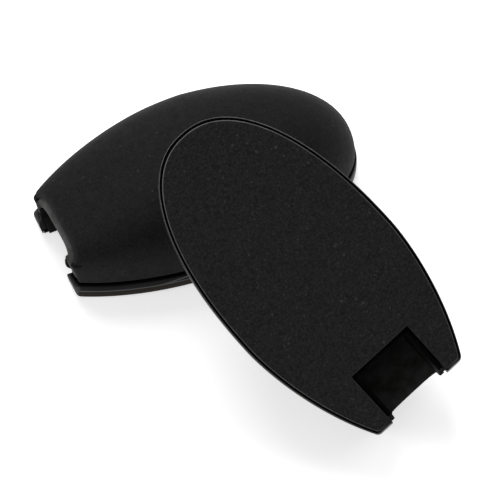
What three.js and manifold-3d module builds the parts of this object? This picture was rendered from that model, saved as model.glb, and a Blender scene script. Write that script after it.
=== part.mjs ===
// A pair of hollow skate blade guards. Each guard is egg-shaped in plan, with a flat face plate, a rounded
// rim, a domed cover over a hard liner, and a blade channel that opens at the narrow end. One guard lies
// dome up, and the other leans on it with its dome down.
// A guard's own frame: x runs from the mouth to the round end, y across, z up from the flat face.
// Lengths are in millimetres and angles in degrees.
import * as THREE from "three";
import { mergeVertices } from "three/addons/utils/BufferGeometryUtils.js";
import Module from "manifold-3d";

// Outline of the rim, seen from above
const GUARD_LENGTH = 110;
const GUARD_WIDTH = 61;
const WIDEST_FROM_MOUTH = 46;
const ARM_WIDTH = 6.5;
const ARM_FOOT_REACH = 0.7;
const ARM_REACH = 1.7;
const MOUTH_CORNER = 1;
const ROUND_END_EXPONENT = 2.24;
const TAPER_EXPONENT = 1.7;

// Dome
const DOME_HEIGHT = 38;
const CREST_FROM_MOUTH = 57;
const MOUTH_ARCH_HEIGHT = 20.5;
const CREST_EXPONENT_ROUND_END = 2.16;
const CREST_EXPONENT_MOUTH = 1.3;
const SECTION_EXPONENT_MOUTH = 3.7;
const SECTION_EXPONENT_ROUND_END = 1.9;
const MOUTH_SQUARENESS = 0.9;
const MOUTH_SQUARENESS_FALL = 8;
const COVER_WALL = 2;
const COVER_INSET = 0.7;
const LINER_WALL = 1.6;
const LINER_LIP = 0.3;

// Mouth edge of the cover: a cheek that leans out, a short slit, and a flap that leans back
const CHEEK_FOOT_SETBACK = 0.5;
const CHEEK_TIP_REACH = 1.2;
const CHEEK_HEIGHT = 8;
const SLIT_WIDTH = 0.9;
const SLIT_DEPTH = 1.6;
const FLAP_REACH = 0.3;
const FLAP_LEAN = 0.5;

// Rim tray
const RIM_FOOT = 0.4;
const RIM_HEIGHT = 6.3;
const RIM_GROOVE = 1.1;
const RIM_WALL = 2.7;
const BEAD_CROWN = 0.3;
const BEAD_EXPONENT = 2.4;
const TRAY_FLOOR = 2.4;

// Face plate and the adhesive sheet over it
const PLATE_THICKNESS = 1.2;
const PLATE_INSET = 1.2;
const PLATE_GAP = 0.7;
const PLATE_REACH = 1.2;
const LEDGE_REACH = 0.8;
const PLATE_CHAMFER = 0.3;
const ADHESIVE_THICKNESS = 0.4;
const ADHESIVE_MARGIN = 1.5;

// Blade channel
const NOTCH_WIDTH = 23.4;
const NOTCH_DEPTH = 18.3;
const CHANNEL_WALL = 1.6;
const CHANNEL_RECESS = 1.6;
const CHANNEL_HEADROOM = 2.1;
const CHANNEL_TIP_REACH = 1.2;
const CHANNEL_FLANGE = 2.5;
const CHANNEL_FLANGE_THICKNESS = 1.2;

// Screws that hold the tray to the liner
const SCREW_FROM_MOUTH = [30, 84];
const SCREW_SIDE_INSET = 7.6;
const SCREW_RADIUS = 1.3;
const SCREW_HEAD_RADIUS = 2.6;
const SCREW_HEAD_HEIGHT = 1.6;
const SCREW_LENGTH = 10.5;
const SCREW_RECESS_WIDTH = 0.8;
const SCREW_RECESS_DEPTH = 0.9;
const BOSS_RADIUS = 3.2;
const BOSS_HEIGHT = 11;

// Clearances, and how the second guard lies on the first
const FIT_GAP = 0.3;
const REST_GAP = 0.4;
const LEAN_YAW = 113.1;
const LEAN_PITCH = -27.1;
const LEAN_ROLL = 156.3;
const LEAN_ALONG = 0.45;
const LEAN_ACROSS = -68.25;

// Mesh fineness
const SIDE_STEPS = 16;
const DOME_STEPS = 20;
const ARCH_STEPS = 14;
const BEAD_STEPS = 6;
const CORNER_STEPS = 3;
const ROUND_SIDES = 12;

// Heights that follow from the sizes above
const ADHESIVE_BOTTOM = PLATE_THICKNESS + FIT_GAP;
const FLOOR_BOTTOM = ADHESIVE_BOTTOM + ADHESIVE_THICKNESS + FIT_GAP;
const FLOOR_TOP = FLOOR_BOTTOM + TRAY_FLOOR;
const INNER_FOOT = FLOOR_TOP + FIT_GAP;
const DOME_BASE = RIM_HEIGHT + RIM_GROOVE;
const LINER_INSET = COVER_INSET + COVER_WALL + FIT_GAP;
const LINER_DEPTH = COVER_WALL + FIT_GAP;
const MOUTH_WIDTH = NOTCH_WIDTH + 2 * ARM_WIDTH;
const CHANNEL_TOP = MOUTH_ARCH_HEIGHT - LINER_DEPTH - LINER_WALL - CHANNEL_HEADROOM;
const OVERRUN = 5;

const wasm = await Module();
wasm.setup();

// Booleans
function solidOf(geometry) {
  const bare = geometry.clone();
  bare.deleteAttribute("normal");
  bare.deleteAttribute("uv");
  const merged = mergeVertices(bare, 1e-4);
  const vertProperties = merged.attributes.position.array;
  const triVerts = new Uint32Array(merged.index.array);
  return new wasm.Manifold(new wasm.Mesh({ numProp: 3, vertProperties, triVerts }));
}

function geometryOf(solid) {
  const mesh = solid.getMesh();
  const positions = new THREE.BufferAttribute(mesh.vertProperties, 3);
  const geometry = new THREE.BufferGeometry();
  geometry.setAttribute("position", positions);
  geometry.setIndex(new THREE.BufferAttribute(mesh.triVerts, 1));
  geometry.computeVertexNormals();
  return geometry;
}

// A box from its lowest and highest corners
function block(low, high) {
  const size = high.map((value, i) => value - low[i]);
  const centre = high.map((value, i) => (value + low[i]) / 2);
  return solidOf(new THREE.BoxGeometry(...size).translate(...centre));
}

// A side profile in x and z, extruded across the guard between y = -half and y = half
function sideProfile(points, half) {
  const shape = new THREE.Shape(points.map(([x, z]) => new THREE.Vector2(x, z)));
  const geometry = new THREE.ExtrudeGeometry(shape, { depth: 2 * half, bevelEnabled: false });
  geometry.rotateX(Math.PI / 2);
  geometry.translate(0, half, 0);
  return solidOf(geometry);
}

// A solid of revolution about a vertical axis through (x, y)
function turned(profile, x, y) {
  const points = profile.map(([radius, z]) => new THREE.Vector2(radius, z));
  const geometry = new THREE.LatheGeometry(points, ROUND_SIDES);
  geometry.rotateX(Math.PI / 2);
  geometry.translate(x, y, 0);
  return solidOf(geometry);
}

// A closed skin over rings of equal length, with a fan cap at each end. Rings turn counter-clockwise when
// seen from the last ring towards the first.
function loft(rings) {
  const count = rings[0].length;
  const positions = rings.flat().flat();
  const index = [];
  for (let r = 0; r + 1 < rings.length; r++) {
    for (let i = 0; i < count; i++) {
      const a = r * count + i;
      const b = r * count + ((i + 1) % count);
      index.push(a, b, b + count, a, b + count, a + count);
    }
  }
  const capEnd = (ring, offset, flip) => {
    const centre = [0, 1, 2].map((k) => ring.reduce((sum, p) => sum + p[k], 0) / count);
    const hub = positions.length / 3;
    positions.push(...centre);
    for (let i = 0; i < count; i++) {
      const a = offset + i;
      const b = offset + ((i + 1) % count);
      index.push(...(flip ? [hub, b, a] : [hub, a, b]));
    }
  };
  capEnd(rings[0], 0, true);
  capEnd(rings[rings.length - 1], (rings.length - 1) * count, false);
  const geometry = new THREE.BufferGeometry();
  geometry.setAttribute("position", new THREE.Float32BufferAttribute(positions, 3));
  geometry.setIndex(index);
  return solidOf(geometry);
}

// Half of the rim's width at x, moved in by inset
function halfWidth(x, inset = 0) {
  const half = GUARD_WIDTH / 2;
  if (x >= WIDEST_FROM_MOUTH) {
    const t = Math.min((x - WIDEST_FROM_MOUTH) / (GUARD_LENGTH - WIDEST_FROM_MOUTH - inset), 1);
    return (half - inset) * (1 - t ** ROUND_END_EXPONENT) ** (1 / ROUND_END_EXPONENT);
  }
  const share = (MOUTH_WIDTH / 2 / half) ** TAPER_EXPONENT;
  const reach = WIDEST_FROM_MOUTH / (1 - share) ** (1 / TAPER_EXPONENT);
  const t = (WIDEST_FROM_MOUTH - x) / reach;
  return half * (1 - t ** TAPER_EXPONENT) ** (1 / TAPER_EXPONENT) - inset;
}

// Height of the dome's crest above its base at x, with the surface moved in by depth
function crestHeight(x, inset, depth) {
  const height = DOME_HEIGHT - DOME_BASE;
  if (x >= CREST_FROM_MOUTH) {
    const t = Math.min((x - CREST_FROM_MOUTH) / (GUARD_LENGTH - CREST_FROM_MOUTH - inset), 1);
    const n = CREST_EXPONENT_ROUND_END;
    return (height - depth) * (1 - t ** n) ** (1 / n);
  }
  const n = CREST_EXPONENT_MOUTH;
  const share = ((MOUTH_ARCH_HEIGHT - DOME_BASE) / height) ** n;
  const reach = CREST_FROM_MOUTH / (1 - share) ** (1 / n);
  const t = (CREST_FROM_MOUTH - x) / reach;
  return height * (1 - t ** n) ** (1 / n) - depth;
}

function sectionExponent(x) {
  const left = 1 - Math.min(Math.max(x / GUARD_LENGTH, 0), 1);
  const even = SECTION_EXPONENT_ROUND_END + (SECTION_EXPONENT_MOUTH - SECTION_EXPONENT_ROUND_END) * left;
  return even + MOUTH_SQUARENESS * left ** MOUTH_SQUARENESS_FALL;
}

// The rim's outline, moved in by inset, as a closed loop of points at one height; reach moves the mouth out
function outlineRing(inset, z, reach = 0) {
  const mouth = inset - reach;
  const start = mouth + MOUTH_CORNER;
  const tip = GUARD_LENGTH - inset;
  const corner = new THREE.QuadraticBezierCurve(
    new THREE.Vector2(mouth, halfWidth(mouth, inset) - MOUTH_CORNER),
    new THREE.Vector2(mouth, halfWidth(mouth, inset)),
    new THREE.Vector2(start, halfWidth(start, inset)),
  );
  const side = corner.getPoints(CORNER_STEPS).map((p) => [p.x, p.y]);
  for (let i = 1; i < SIDE_STEPS; i++) {
    const x = start + (tip - start) * Math.sin(((i / SIDE_STEPS) * Math.PI) / 2);
    side.push([x, halfWidth(x, inset)]);
  }
  const far = side.map(([x, y]) => [x, y, z]).reverse();
  const near = side.map(([x, y]) => [x, -y, z]);
  return [...near, [tip, 0, z], ...far];
}

// A flat slab with the rim's outline
function slab(inset, low, high, reach = 0) {
  return loft([outlineRing(inset, low, reach), outlineRing(inset, high, reach)]);
}

// The solid dome from its foot up, with its surface moved in by depth
function domeSolid(inset, depth, foot, start) {
  const tip = GUARD_LENGTH - inset;
  const rings = [];
  for (let i = 0; i <= DOME_STEPS; i++) {
    const turn = (i / (DOME_STEPS + 0.5)) * (Math.PI / 2);
    const x = start + (tip - start) * Math.sin(turn);
    const width = halfWidth(x, inset);
    const height = crestHeight(x, inset, depth);
    const power = 2 / sectionExponent(x);
    const ring = [[x, width, foot]];
    for (let j = 0; j <= ARCH_STEPS; j++) {
      const angle = (j / ARCH_STEPS) * Math.PI;
      const y = width * Math.sign(Math.cos(angle)) * Math.abs(Math.cos(angle)) ** power;
      ring.push([x, y, DOME_BASE + height * Math.abs(Math.sin(angle)) ** power]);
    }
    ring.push([x, -width, foot]);
    rings.push(ring);
  }
  return loft(rings);
}

// What the cover's mouth edge leaves out, as a side profile; reach moves the edge out
function mouthCut(reach, slit) {
  const cheekTop = DOME_BASE + CHEEK_HEIGHT;
  const flapFoot = cheekTop + SLIT_WIDTH;
  const lean = (z) => -FLAP_REACH + FLAP_LEAN * (z - flapFoot) - reach;
  const above = DOME_HEIGHT;
  const slitPoints = slit
    ? [[SLIT_DEPTH, cheekTop], [SLIT_DEPTH, flapFoot]]
    : [];
  const points = [
    [-3 * OVERRUN, -OVERRUN],
    [CHEEK_FOOT_SETBACK - reach, -OVERRUN],
    [CHEEK_FOOT_SETBACK - reach, DOME_BASE],
    [-CHEEK_TIP_REACH - reach, cheekTop],
    ...slitPoints,
    [lean(flapFoot), flapFoot],
    [lean(MOUTH_ARCH_HEIGHT + 1), MOUTH_ARCH_HEIGHT + 1],
    [lean(MOUTH_ARCH_HEIGHT + 1), above],
    [-3 * OVERRUN, above],
  ];
  return sideProfile(points, GUARD_WIDTH);
}

// Places of the four screws
function screwPlaces() {
  return SCREW_FROM_MOUTH.flatMap((x) => {
    const y = halfWidth(x) - SCREW_SIDE_INSET;
    return [[x, y], [x, -y]];
  });
}

// Face plate: a flat sheet with a notch for the blade and a small chamfer on its outer edge
function facePlate() {
  const sheet = loft([
    outlineRing(PLATE_INSET + PLATE_CHAMFER, 0, PLATE_REACH),
    outlineRing(PLATE_INSET, PLATE_CHAMFER, PLATE_REACH),
    outlineRing(PLATE_INSET, PLATE_THICKNESS, PLATE_REACH),
  ]);
  return sheet.subtract(notchBlock(0, -OVERRUN, OVERRUN));
}

function notchBlock(margin, low, high) {
  const half = NOTCH_WIDTH / 2 + margin;
  return block([-3 * OVERRUN, -half, low], [NOTCH_DEPTH + margin, half, high]);
}

// Adhesive sheet between the face plate and the tray
function plateAdhesive() {
  const top = ADHESIVE_BOTTOM + ADHESIVE_THICKNESS;
  const sheet = slab(PLATE_INSET + ADHESIVE_MARGIN, ADHESIVE_BOTTOM, top);
  return sheet.subtract(notchBlock(ADHESIVE_MARGIN, -OVERRUN, 2 * OVERRUN));
}

// Tray: the rounded rim, the floor over the plate, and the two arms beside the notch
function rimTray() {
  const middle = (RIM_FOOT + RIM_HEIGHT) / 2;
  const rings = [];
  for (let i = 0; i <= BEAD_STEPS; i++) {
    const z = RIM_FOOT + ((RIM_HEIGHT - RIM_FOOT) * i) / BEAD_STEPS;
    const off = Math.abs((z - middle) / (RIM_HEIGHT - middle));
    const reach = ARM_FOOT_REACH + ((ARM_REACH - ARM_FOOT_REACH) * i) / BEAD_STEPS;
    rings.push(outlineRing(BEAD_CROWN * off ** BEAD_EXPONENT, z, reach));
  }
  let tray = loft(rings);
  tray = tray.subtract(slab(PLATE_INSET - PLATE_GAP, -OVERRUN, FLOOR_BOTTOM, LEDGE_REACH));
  tray = tray.subtract(slab(RIM_WALL, FLOOR_TOP, RIM_HEIGHT + OVERRUN));
  tray = tray.subtract(notchBlock(0, -OVERRUN, RIM_HEIGHT + OVERRUN));
  const hole = SCREW_RADIUS + FIT_GAP;
  const sink = SCREW_HEAD_RADIUS + FIT_GAP;
  const profile = [
    [0, FLOOR_BOTTOM - OVERRUN],
    [sink, FLOOR_BOTTOM - OVERRUN],
    [sink, FLOOR_BOTTOM + FIT_GAP],
    [hole, FLOOR_BOTTOM + FIT_GAP + SCREW_HEAD_HEIGHT],
    [hole, FLOOR_TOP + OVERRUN],
    [0, FLOOR_TOP + OVERRUN],
  ];
  for (const [x, y] of screwPlaces()) {
    tray = tray.subtract(turned(profile, x, y));
  }
  return tray;
}

// Blade channel: two walls and a back, with a flange that lies on the tray's floor
function bladeChannel() {
  const half = NOTCH_WIDTH / 2 - FIT_GAP;
  const back = NOTCH_DEPTH - FIT_GAP;
  const middle = (FLOOR_TOP + CHANNEL_TOP) / 2;
  const tip = -CHANNEL_TIP_REACH;
  const walls = sideProfile([
    [CHANNEL_TIP_REACH, CHANNEL_RECESS],
    [back, CHANNEL_RECESS],
    [back, CHANNEL_TOP],
    [CHANNEL_TIP_REACH, CHANNEL_TOP],
    [tip, CHANNEL_TOP - 2 * CHANNEL_TIP_REACH],
    [tip, middle],
    [CHANNEL_TIP_REACH / 2, middle - 2 * CHANNEL_TIP_REACH],
  ], half);
  const flangeTop = INNER_FOOT + CHANNEL_FLANGE_THICKNESS;
  const flange = block(
    [RIM_WALL + FIT_GAP, -half - CHANNEL_FLANGE, INNER_FOOT],
    [back + CHANNEL_FLANGE, half + CHANNEL_FLANGE, flangeTop],
  );
  const inside = half - CHANNEL_WALL;
  const bore = block([-3 * OVERRUN, -inside, -OVERRUN], [back - CHANNEL_WALL, inside, DOME_HEIGHT]);
  return walls.add(flange).intersect(linerHollow(FIT_GAP)).subtract(bore);
}

// The space inside the liner, made smaller all round by gap
function linerHollow(gap) {
  const wall = LINER_WALL + gap;
  return domeSolid(LINER_INSET + wall, LINER_DEPTH + wall, -OVERRUN, -2 * OVERRUN);
}

// Liner: a hard shell under the cover, with a boss for each screw
function domeLiner() {
  const outer = domeSolid(LINER_INSET, LINER_DEPTH, INNER_FOOT, -OVERRUN);
  let bosses = null;
  for (const [x, y] of screwPlaces()) {
    const top = INNER_FOOT + BOSS_HEIGHT;
    const boss = turned([[0, INNER_FOOT], [BOSS_RADIUS, INNER_FOOT], [BOSS_RADIUS, top], [0, top]], x, y);
    bosses = bosses ? bosses.add(boss) : boss;
  }
  let liner = outer.subtract(linerHollow(0)).add(bosses.intersect(outer));
  const bore = SCREW_RADIUS + FIT_GAP;
  const boreTop = FLOOR_BOTTOM + FIT_GAP + SCREW_LENGTH + FIT_GAP;
  for (const [x, y] of screwPlaces()) {
    const profile = [[0, -OVERRUN], [bore, -OVERRUN], [bore, boreTop], [0, boreTop]];
    liner = liner.subtract(turned(profile, x, y));
  }
  const overTray = RIM_HEIGHT + FIT_GAP;
  const trayZone = block(
    [-4 * OVERRUN, -GUARD_WIDTH, -OVERRUN],
    [GUARD_LENGTH + OVERRUN, GUARD_WIDTH, overTray],
  );
  const trayInside = slab(RIM_WALL + FIT_GAP, -2 * OVERRUN, DOME_HEIGHT);
  return liner.subtract(trayZone.subtract(trayInside)).subtract(mouthCut(LINER_LIP, false));
}

// Cover: the domed outer shell
function domeCover() {
  const outer = domeSolid(COVER_INSET, 0, DOME_BASE, -OVERRUN);
  const hollow = domeSolid(COVER_INSET + COVER_WALL, COVER_WALL, -OVERRUN, -2 * OVERRUN);
  return outer.subtract(hollow).subtract(mouthCut(0, true));
}

// Countersunk self-tapping screw with a cross recess
function screw([x, y]) {
  const foot = FLOOR_BOTTOM + FIT_GAP;
  const neck = foot + SCREW_HEAD_HEIGHT;
  const end = foot + SCREW_LENGTH;
  const body = turned([
    [0, foot],
    [SCREW_HEAD_RADIUS - FIT_GAP, foot],
    [SCREW_RADIUS, neck],
    [SCREW_RADIUS, end - SCREW_RADIUS],
    [0, end],
  ], x, y);
  const arm = SCREW_HEAD_RADIUS / 2;
  const half = SCREW_RECESS_WIDTH / 2;
  const depth = foot + SCREW_RECESS_DEPTH;
  const along = block([x - arm, y - half, 0], [x + arm, y + half, depth]);
  const across = block([x - half, y - arm, 0], [x + half, y + arm, depth]);
  return body.subtract(along).subtract(across);
}

const MATERIALS = {
  soft: new THREE.MeshStandardMaterial({ color: 0x1c1c1c, roughness: 0.75, metalness: 0 }),
  hard: new THREE.MeshStandardMaterial({ color: 0x121212, roughness: 0.4, metalness: 0 }),
  plate: new THREE.MeshStandardMaterial({ color: 0x1a1a1a, roughness: 0.85, metalness: 0 }),
  adhesive: new THREE.MeshStandardMaterial({ color: 0x2a2a28, roughness: 0.9, metalness: 0 }),
  steel: new THREE.MeshStandardMaterial({ color: 0x8a8c8e, roughness: 0.35, metalness: 1 }),
};

function named(name, solid, material) {
  const mesh = new THREE.Mesh(geometryOf(solid), material);
  mesh.name = name;
  return mesh;
}

// One guard, every piece in its own mesh
function guard(side) {
  const group = new THREE.Group();
  group.add(named(`${side}_face_plate`, facePlate(), MATERIALS.plate));
  group.add(named(`${side}_plate_adhesive`, plateAdhesive(), MATERIALS.adhesive));
  group.add(named(`${side}_rim_tray`, rimTray(), MATERIALS.hard));
  group.add(named(`${side}_blade_channel`, bladeChannel(), MATERIALS.hard));
  group.add(named(`${side}_dome_liner`, domeLiner(), MATERIALS.hard));
  group.add(named(`${side}_dome_cover`, domeCover(), MATERIALS.soft));
  screwPlaces().forEach((place, i) => {
    group.add(named(`${side}_screw_${i + 1}`, screw(place), MATERIALS.steel));
  });
  return group;
}

// Height of the lower guard's top surface over a point, or null beside it
function topOver(x, y) {
  if (x < -ARM_REACH || x > GUARD_LENGTH) {
    return null;
  }
  if (Math.abs(y) > halfWidth(Math.max(x, 0))) {
    return null;
  }
  const width = halfWidth(Math.max(x, 0), COVER_INSET);
  const across = Math.min(Math.abs(y) / Math.max(width, FIT_GAP), 1);
  const power = sectionExponent(x);
  const rise = crestHeight(x, COVER_INSET, 0) * (1 - across ** power) ** (1 / power);
  return Math.max(RIM_HEIGHT, DOME_BASE + rise);
}

// Lifts the leaning guard until it clears the table and the guard under it
function restHeight(lean) {
  lean.updateMatrixWorld(true);
  const point = new THREE.Vector3();
  let lift = -Infinity;
  for (const mesh of lean.children) {
    const positions = mesh.geometry.getAttribute("position");
    for (let i = 0; i < positions.count; i++) {
      point.fromBufferAttribute(positions, i).applyMatrix4(mesh.matrixWorld);
      const top = topOver(point.x, point.y);
      lift = Math.max(lift, REST_GAP - point.z, top === null ? -Infinity : top + REST_GAP - point.z);
    }
  }
  return lift;
}

const rear = guard("rear");
const front = guard("front");
const centre = new THREE.Vector3(-GUARD_LENGTH / 2, 0, 0);
const lean = new THREE.Euler(
  THREE.MathUtils.degToRad(LEAN_ROLL),
  THREE.MathUtils.degToRad(LEAN_PITCH),
  THREE.MathUtils.degToRad(LEAN_YAW),
  "ZYX",
);
front.setRotationFromEuler(lean);
front.position.copy(centre.applyEuler(lean));
front.position.x += GUARD_LENGTH / 2 + LEAN_ALONG;
front.position.y += LEAN_ACROSS;
front.position.z += restHeight(front);

// The pair stands on z = 0 with its box centred on the origin
const pair = new THREE.Group();
pair.add(rear, front);
pair.updateMatrixWorld(true);
const middle = new THREE.Box3().setFromObject(pair, true).getCenter(new THREE.Vector3());
pair.position.set(-middle.x, -middle.y, 0);

export default pair;
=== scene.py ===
"""Looks for a pair of hollow skate blade guards: one lies dome up, the other leans on it with its dome down.

A guard's own frame: x runs from the mouth to the round end, y across, z up from the flat face plate.
Sizes here are in millimetres. Meshes end in metres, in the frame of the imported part.
"""

import math

import bmesh
import bpy
from mathutils import Euler, Matrix, Vector


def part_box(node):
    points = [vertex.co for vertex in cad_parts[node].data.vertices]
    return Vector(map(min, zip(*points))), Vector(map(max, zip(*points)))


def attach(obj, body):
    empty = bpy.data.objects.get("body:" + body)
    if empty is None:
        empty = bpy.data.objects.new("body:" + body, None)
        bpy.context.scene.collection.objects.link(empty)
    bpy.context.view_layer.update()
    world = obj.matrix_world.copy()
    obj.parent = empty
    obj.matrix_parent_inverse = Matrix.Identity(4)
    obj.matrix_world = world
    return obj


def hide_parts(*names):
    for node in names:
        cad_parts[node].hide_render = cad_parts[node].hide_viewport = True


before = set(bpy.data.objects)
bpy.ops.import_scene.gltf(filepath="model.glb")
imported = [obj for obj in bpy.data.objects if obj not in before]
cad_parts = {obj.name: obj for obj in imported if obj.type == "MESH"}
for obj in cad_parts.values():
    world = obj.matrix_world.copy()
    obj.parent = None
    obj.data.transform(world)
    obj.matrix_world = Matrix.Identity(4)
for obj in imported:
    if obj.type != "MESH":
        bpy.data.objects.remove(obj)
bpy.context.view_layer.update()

MM = 0.001
PI = math.pi
SAME_POINT = 0.004

# Outline of the rim, seen from above
GUARD_LENGTH = 110
GUARD_WIDTH = 61
WIDEST_FROM_MOUTH = 46
NOTCH_WIDTH = 23.4
NOTCH_DEPTH = 18.3
ARM_WIDTH = 6.5
ARM_FOOT_REACH = 0.7
ARM_REACH = 1.7
MOUTH_WIDTH = NOTCH_WIDTH + 2 * ARM_WIDTH
MOUTH_CORNER = 1
ROUND_END_EXPONENT = 2.24
TAPER_EXPONENT = 1.7

# Dome, cover and liner
DOME_HEIGHT = 38
RIM_HEIGHT = 6.3
RIM_GROOVE = 1.1
DOME_BASE = RIM_HEIGHT + RIM_GROOVE
CREST_FROM_MOUTH = 57
MOUTH_ARCH_HEIGHT = 20.5
CREST_EXPONENT_ROUND_END = 2.16
CREST_EXPONENT_MOUTH = 1.3
SECTION_EXPONENT_MOUTH = 3.7
SECTION_EXPONENT_ROUND_END = 1.9
MOUTH_SQUARENESS = 0.9
MOUTH_SQUARENESS_FALL = 8
COVER_WALL = 2
COVER_INSET = 0.7
LINER_WALL = 1.6
LINER_LIP = 0.3
FIT_GAP = 0.3
LINER_INSET = COVER_INSET + COVER_WALL + FIT_GAP
LINER_DEPTH = COVER_WALL + FIT_GAP
SKIRT_SETBACK = 1.5

# Mouth edge of the cover
CHEEK_FOOT_SETBACK = 0.5
CHEEK_TIP_REACH = 1.2
CHEEK_HEIGHT = 8
SLIT_WIDTH = 0.9
SLIT_DEPTH = 1.6
FLAP_REACH = 0.3
FLAP_LEAN = 0.5

# Rim tray and face plate
RIM_FOOT = 0.4
RIM_WALL = 2.7
BEAD_CROWN = 0.2
BEAD_EDGE = 0.25
# Painted highlights on the rim: the light line's height and half width, then where a second painted highlight
# starts and how steeply it climbs
RIM_HIGHLIGHT_HEIGHT = 3.8
HIGHLIGHT_REACH = 0.45
RISING_HIGHLIGHT_FROM_MOUTH = 25
RISING_HIGHLIGHT_CLIMB = 0.17
TRAY_FLOOR_LOW = 2.2
TRAY_FLOOR_HIGH = 4.6
TRAY_OVERLAP = 0.6
PLATE_THICKNESS = 1.2
PLATE_INSET = 1.2
PLATE_GAP = 0.7
PLATE_REACH = 1.2
LEDGE_REACH = 0.8
PLATE_EDGE = 0.45
PLATE_CHAMFER = 0.12

# Blade channel
CHANNEL_WALL = 1.6
CHANNEL_FOOT = 1.6
CHANNEL_TOP = 14.5
CHANNEL_TIP_REACH = 1.2
FLANGE_REACH = 2.5
FLANGE_LOW = 4.9
FLANGE_HIGH = 6.1
FLANGE_OVERLAP = 0.4
CHANNEL_BEVEL = 0.25

# Screws and their bosses
SCREW_FROM_MOUTH = (30, 84)
SCREW_SIDE_INSET = 7.6
SCREW_FOOT = 2.5
SCREW_LENGTH = 10.5
SCREW_HEAD_RADIUS = 2.3
SCREW_RADIUS = 1.3
SCREW_HEAD_HEIGHT = 1.6
BOSS_RADIUS = 3.2
BOSS_BORE = 1.6
BOSS_FOOT = 4.9
BOSS_HEIGHT = 11

# How the second guard leans, in degrees
LEAN_YAW = 113.1
LEAN_PITCH = -27.1
LEAN_ROLL = 156.3


# ---------------------------------------------------------------- Arithmetic in node trees


class Term:
    """A number in a node tree. Arithmetic on it adds Math nodes."""

    def __init__(self, tree, socket):
        self.tree = tree
        self.socket = socket

    def math(self, operation, *others, clamp=False):
        node = self.tree.nodes.new("ShaderNodeMath")
        node.operation = operation
        node.use_clamp = clamp
        for slot, value in zip(node.inputs, (self, *others)):
            if isinstance(value, Term):
                self.tree.links.new(value.socket, slot)
            else:
                slot.default_value = value
        return Term(self.tree, node.outputs[0])

    def __add__(self, other):
        return self.math("ADD", other)

    def __mul__(self, other):
        return self.math("MULTIPLY", other)

    def __sub__(self, other):
        return self.math("SUBTRACT", other)

    def __rsub__(self, other):
        return self.math("MULTIPLY_ADD", -1.0, other)

    def __truediv__(self, other):
        return self.math("DIVIDE", other)

    def __rtruediv__(self, other):
        return self.math("POWER", -1.0) * other

    def __pow__(self, other):
        return self.math("POWER", other)

    def __abs__(self):
        return self.math("ABSOLUTE")

    __radd__ = __add__
    __rmul__ = __mul__

    def sin(self):
        return self.math("SINE")

    def cos(self):
        return self.math("COSINE")

    def at_least(self, other):
        return self.math("MAXIMUM", other)

    def below(self, other):
        return self.math("LESS_THAN", other)

    def ramp(self, low, high):
        """0 up to low, 1 from high on, and even in between."""
        return (self - low).math("DIVIDE", high - low, clamp=True)


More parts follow.
